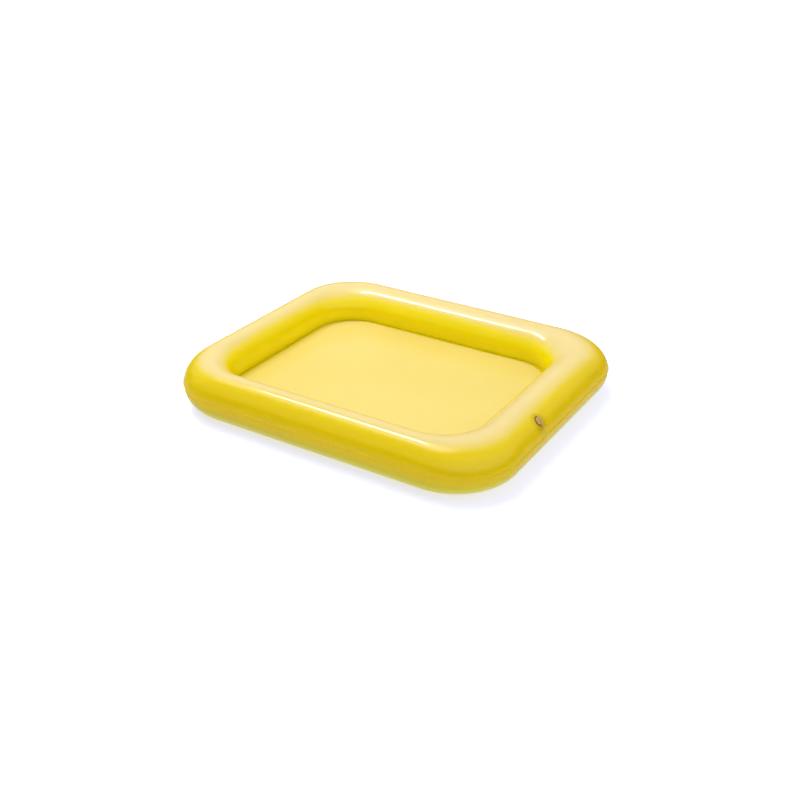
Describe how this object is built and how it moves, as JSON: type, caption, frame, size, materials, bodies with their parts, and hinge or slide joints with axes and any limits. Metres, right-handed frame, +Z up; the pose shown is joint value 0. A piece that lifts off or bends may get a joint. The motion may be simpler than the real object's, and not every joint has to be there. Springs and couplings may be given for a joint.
{
  "type": "inflatable tray",
  "caption": "Rectangular inflatable tray: a rounded air tube welded round a taut floor sheet, with a small push-in inflation valve on one end.",
  "frame": {"origin": "centre of the footprint, on the surface that the tray stands on", "axes": "+Z up, +X along the long side towards the end with the valve, +Y across"},
  "size_m": [0.6, 0.509, 0.08],
  "materials": {
    "tube_film": "glossy, slightly translucent welded PVC film",
    "floor_film": "glossy, taut PVC sheet",
    "clear_pvc": "clear soft PVC, slightly yellowed by the film round it"
  },
  "bodies": {
    "tray": {"tube_top_panel": "tube_film", "tube_bottom_panel": "tube_film", "floor_sheet": "floor_film", "valve_flange": "clear_pvc", "valve_web": "clear_pvc"},
    "stem": {"valve_stem": "clear_pvc", "valve_tether": "clear_pvc"},
    "stopper": {"valve_stopper": "clear_pvc"},
    "flap": {"valve_check_flap": "clear_pvc"}
  },
  "joints": [
    {"name": "valve_recess", "type": "slide", "parent": "tray", "child": "stem", "axis": [0.7116, 0, 0.7026], "range_m": [0, 0.012], "deforming": ["valve_web"]},
    {"name": "stopper_pull", "type": "slide", "parent": "stem", "child": "stopper", "axis": [0.7116, 0, 0.7026], "range_m": [0, 0.01], "deforming": ["valve_tether"]},
    {"name": "flap_open", "type": "hinge", "parent": "stem", "child": "flap", "pos_m": [0.27246, -0.0717, 0.05944], "axis": [0, 1, 0], "range_deg": [0, 60], "stiffness_Nm_per_rad": 0.00003, "springref_deg": -5.73}
  ]
}
